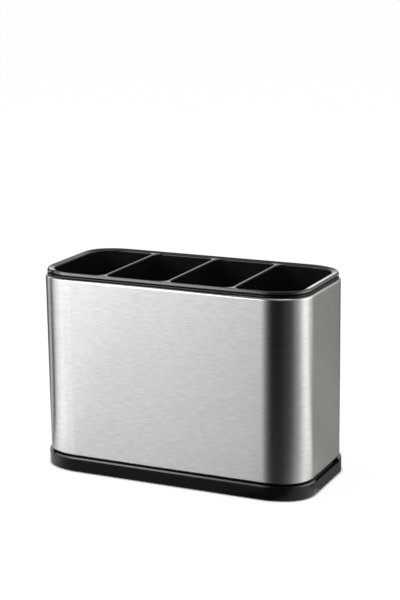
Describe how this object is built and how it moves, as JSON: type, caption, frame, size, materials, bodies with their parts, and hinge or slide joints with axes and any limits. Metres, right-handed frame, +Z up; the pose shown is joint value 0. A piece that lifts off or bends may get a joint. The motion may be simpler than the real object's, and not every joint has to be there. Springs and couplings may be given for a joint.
{
  "type": "kitchen utensil holder",
  "caption": "Upright rounded-rectangular counter-top utensil holder: brushed steel sleeve on a black drip tray, with a black lift-out liner divided into a row of four pockets.",
  "frame": {"origin": "on the counter, under the middle of the holder", "axes": "+Z up, +X along the long side to the right seen from the front, -Y towards the front"},
  "size_m": [0.1826, 0.0852, 0.1291],
  "materials": {
    "sleeve_steel": "fine horizontal brush",
    "collar_plastic": "smooth black",
    "liner_plastic": "glossy black",
    "tray_plastic": "satin black",
    "foot_rubber": "matt dark grey"
  },
  "bodies": {
    "base": {"drip_tray": "tray_plastic", "foot_front_left": "foot_rubber", "foot_front_right": "foot_rubber", "foot_back_left": "foot_rubber", "foot_back_right": "foot_rubber"},
    "housing": {"steel_sleeve": "sleeve_steel", "rim_collar": "collar_plastic"},
    "liner": {"compartment_liner": "liner_plastic"}
  },
  "joints": [
    {"name": "housing_lift", "type": "slide", "parent": "base", "child": "housing", "axis": [0, 0, 1], "range_m": [0, 0.03]},
    {"name": "liner_lift", "type": "slide", "parent": "housing", "child": "liner", "axis": [0, 0, 1], "range_m": [0, 0.12]}
  ]
}
